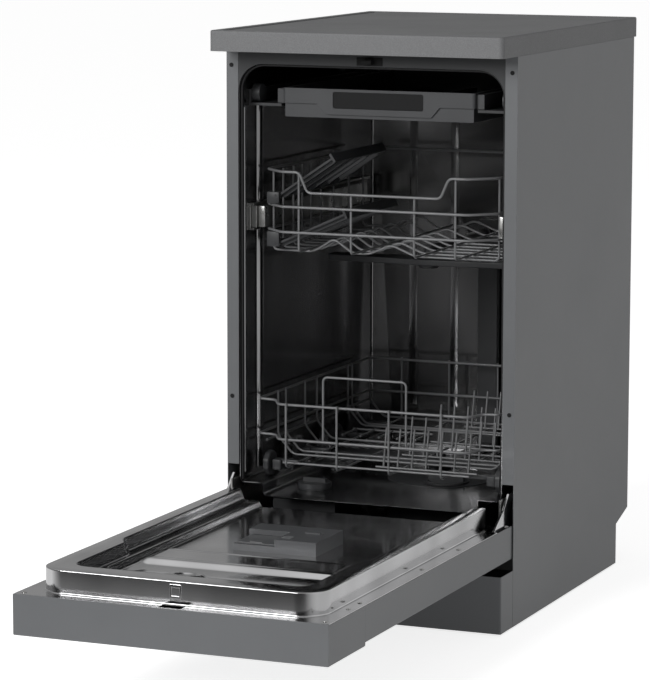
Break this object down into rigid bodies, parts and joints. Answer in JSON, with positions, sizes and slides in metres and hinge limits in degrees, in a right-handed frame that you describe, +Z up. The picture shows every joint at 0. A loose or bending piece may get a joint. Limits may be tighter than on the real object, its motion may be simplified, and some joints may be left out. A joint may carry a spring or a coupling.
{
  "type": "freestanding dishwasher",
  "caption": "Slim freestanding dishwasher with drop-down door, two wheeled or railed wire racks, a slide-out cutlery tray, spray arms, dispenser and machine bay.",
  "frame": {"origin": "on the floor, in the middle of the open machine's width and length", "axes": "+Z up, -Y to the front where the open door lies, +X to the right seen from the front"},
  "size_m": [0.448, 1.226, 0.85],
  "materials": {
    "worktop_laminate": "fine speckled grey laminate",
    "grey_enamel": "silver grey enamelled sheet",
    "dark_plastic": "dark grey moulded plastic",
    "black_plastic": "black moulded plastic",
    "white_plastic": "natural white moulded plastic",
    "stainless": "polished stainless sheet",
    "satin_steel": "satin stainless sheet",
    "zinc_steel": "zinc plated steel",
    "rack_coating": "grey coated steel wire",
    "seal_rubber": "black rubber",
    "cast_weight": "rough cast weight",
    "pump_plastic": "glass filled plastic"
  },
  "bodies": {
    "cabinet": {"worktop_board": "worktop_laminate", "worktop_edging": "worktop_laminate", "side_panel_left": "grey_enamel", "side_panel_right": "grey_enamel", "cabinet_screws": "zinc_steel", "rear_panel": "zinc_steel", "kick_plate": "grey_enamel", "base_tray": "black_plastic", "front_header": "grey_enamel", "door_lock": "black_plastic", "tub": "stainless", "tub_gasket": "seal_rubber", "sump_housing": "dark_plastic", "supply_pipe": "dark_plastic", "circulation_pump": "pump_plastic", "drain_pump": "pump_plastic", "inlet_valve": "white_plastic", "terminal_box": "black_plastic", "salt_container": "white_plastic", "counterweight": "cast_weight", "hinge_bracket_left": "zinc_steel", "hinge_bracket_right": "zinc_steel", "balance_spring_left": "zinc_steel", "balance_spring_right": "zinc_steel", "upper_rail_left": "zinc_steel", "upper_rail_right": "zinc_steel", "tray_rail_left": "dark_plastic", "tray_rail_right": "dark_plastic"},
    "door": {"door_outer_panel": "grey_enamel", "door_liner": "stainless", "control_panel": "grey_enamel", "hinge_arm_left": "zinc_steel", "hinge_arm_right": "zinc_steel", "door_catch": "satin_steel", "dispenser_body": "dark_plastic", "door_screws": "zinc_steel"},
    "lower_basket": {"lower_rack": "rack_coating"},
    "upper_basket": {"upper_rack": "rack_coating"},
    "cutlery_drawer": {"cutlery_tray": "dark_plastic", "tray_grip": "black_plastic"},
    "dispenser_lid_body": {"dispenser_lid": "dark_plastic"},
    "rinse_aid_cap_body": {"rinse_aid_cap": "dark_plastic"},
    "power_button_body": {"power_button": "dark_plastic"},
    "programme_button_body": {"programme_button": "dark_plastic"},
    "fold_tines_body": {"fold_tines": "rack_coating"},
    "rack_wheels_1_body": {"rack_wheels_1": "dark_plastic"},
    "rack_wheels_2_body": {"rack_wheels_2": "dark_plastic"},
    "rack_wheels_3_body": {"rack_wheels_3": "dark_plastic"},
    "rack_wheels_4_body": {"rack_wheels_4": "dark_plastic"},
    "upper_rail_slides_body": {"upper_rail_slides": "zinc_steel"},
    "cup_shelf_lower_body": {"cup_shelf_lower": "dark_plastic"},
    "cup_shelf_upper_body": {"cup_shelf_upper": "dark_plastic"},
    "upper_spray_arm_body": {"upper_spray_arm": "dark_plastic"},
    "lower_spray_arm_body": {"lower_spray_arm": "dark_plastic"},
    "foot_front_left_body": {"foot_front_left": "black_plastic"},
    "foot_front_right_body": {"foot_front_right": "black_plastic"},
    "foot_rear_left_body": {"foot_rear_left": "black_plastic"},
    "foot_rear_right_body": {"foot_rear_right": "black_plastic"},
    "salt_cap_body": {"salt_cap": "white_plastic"},
    "filter_cylinder_body": {"filter_cylinder": "dark_plastic"}
  },
  "joints": [
    {"name": "door_hinge", "type": "hinge", "parent": "cabinet", "child": "door", "pos_m": [0, 0.0565, 0.1485], "axis": [-1, 0, 0], "range_deg": [0, 90]},
    {"name": "lower_rack_slide", "type": "slide", "parent": "cabinet", "child": "lower_basket", "axis": [0, 1, 0], "range_m": [-0.43, 0]},
    {"name": "upper_rack_slide", "type": "slide", "parent": "cabinet", "child": "upper_basket", "axis": [0, 1, 0], "range_m": [-0.4, 0]},
    {"name": "upper_rail_telescope", "type": "slide", "parent": "cabinet", "child": "upper_rail_slides_body", "axis": [0, 1, 0], "range_m": [-0.2, 0]},
    {"name": "cutlery_tray_slide", "type": "slide", "parent": "cabinet", "child": "cutlery_drawer", "axis": [0, 1, 0], "range_m": [-0.4, 0]},
    {"name": "rack_wheels_1_roll", "type": "hinge", "parent": "lower_basket", "child": "rack_wheels_1_body", "pos_m": [0, 0.126, 0.2033], "axis": [1, 0, 0], "range_deg": [-5, 1315]},
    {"name": "rack_wheels_2_roll", "type": "hinge", "parent": "lower_basket", "child": "rack_wheels_2_body", "pos_m": [0, 0.236, 0.2033], "axis": [1, 0, 0], "range_deg": [-5, 1315]},
    {"name": "rack_wheels_3_roll", "type": "hinge", "parent": "lower_basket", "child": "rack_wheels_3_body", "pos_m": [0, 0.38, 0.2033], "axis": [1, 0, 0], "range_deg": [-5, 1315]},
    {"name": "rack_wheels_4_roll", "type": "hinge", "parent": "lower_basket", "child": "rack_wheels_4_body", "pos_m": [0, 0.49, 0.2033], "axis": [1, 0, 0], "range_deg": [-5, 1315]},
    {"name": "fold_tines_fold", "type": "hinge", "parent": "lower_basket", "child": "fold_tines_body", "pos_m": [0, 0.375, 0.2165], "axis": [-1, 0, 0], "range_deg": [0, 90]},
    {"name": "cup_shelf_lower_fold", "type": "hinge", "parent": "upper_basket", "child": "cup_shelf_lower_body", "pos_m": [-0.16, 0.201, 0.536], "axis": [0, -1, 0], "range_deg": [0, 28]},
    {"name": "cup_shelf_upper_fold", "type": "hinge", "parent": "upper_basket", "child": "cup_shelf_upper_body", "pos_m": [-0.16, 0.201, 0.606], "axis": [0, -1, 0], "range_deg": [0, 50]},
    {"name": "upper_spray_arm_spin", "type": "hinge", "parent": "upper_basket", "child": "upper_spray_arm_body", "pos_m": [0, 0.303, 0.495], "axis": [0, 0, 1], "continuous": true},
    {"name": "lower_spray_arm_spin", "type": "hinge", "parent": "cabinet", "child": "lower_spray_arm_body", "pos_m": [0, 0.333, 0.186], "axis": [0, 0, 1], "continuous": true},
    {"name": "dispenser_lid_slide", "type": "slide", "parent": "door", "child": "dispenser_lid_body", "axis": [0, 1, 0], "range_m": [0, 0.036]},
    {"name": "rinse_aid_cap_turn", "type": "hinge", "parent": "door", "child": "rinse_aid_cap_body", "pos_m": [0.033, -0.219, 0.178], "axis": [0, 0, 1], "range_deg": [0, 90]},
    {"name": "power_button_press", "type": "slide", "parent": "door", "child": "power_button_body", "axis": [0, 0, 1], "range_m": [0, 0.0015], "stiffness_N_per_m": 300},
    {"name": "programme_button_press", "type": "slide", "parent": "door", "child": "programme_button_body", "axis": [0, 0, 1], "range_m": [0, 0.0015], "stiffness_N_per_m": 300},
    {"name": "salt_cap_turn", "type": "hinge", "parent": "cabinet", "child": "salt_cap_body", "pos_m": [-0.122, 0.153, 0.17], "axis": [0, 0, 1], "range_deg": [0, 360]},
    {"name": "filter_turn", "type": "hinge", "parent": "cabinet", "child": "filter_cylinder_body", "pos_m": [0.045, 0.265, 0.15], "axis": [0, 0, 1], "range_deg": [0, 90]},
    {"name": "foot_front_left_turn", "type": "hinge", "parent": "cabinet", "child": "foot_front_left_body", "pos_m": [-0.185, 0.048, 0.02], "axis": [0, 0, 1], "continuous": true},
    {"name": "foot_front_right_turn", "type": "hinge", "parent": "cabinet", "child": "foot_front_right_body", "pos_m": [0.185, 0.048, 0.02], "axis": [0, 0, 1], "continuous": true},
    {"name": "foot_rear_left_turn", "type": "hinge", "parent": "cabinet", "child": "foot_rear_left_body", "pos_m": [-0.185, 0.503, 0.02], "axis": [0, 0, 1], "continuous": true},
    {"name": "foot_rear_right_turn", "type": "hinge", "parent": "cabinet", "child": "foot_rear_right_body", "pos_m": [0.185, 0.503, 0.02], "axis": [0, 0, 1], "continuous": true}
  ],
  "couplings": [
    {"joint": "upper_rail_telescope", "follows": "upper_rack_slide", "ratio": 0.5},
    {"joint": "rack_wheels_1_roll", "follows": "lower_rack_slide", "rad_per_m": -53.191},
    {"joint": "rack_wheels_2_roll", "follows": "lower_rack_slide", "rad_per_m": -53.191},
    {"joint": "rack_wheels_3_roll", "follows": "lower_rack_slide", "rad_per_m": -53.191},
    {"joint": "rack_wheels_4_roll", "follows": "lower_rack_slide", "rad_per_m": -53.191}
  ]
}
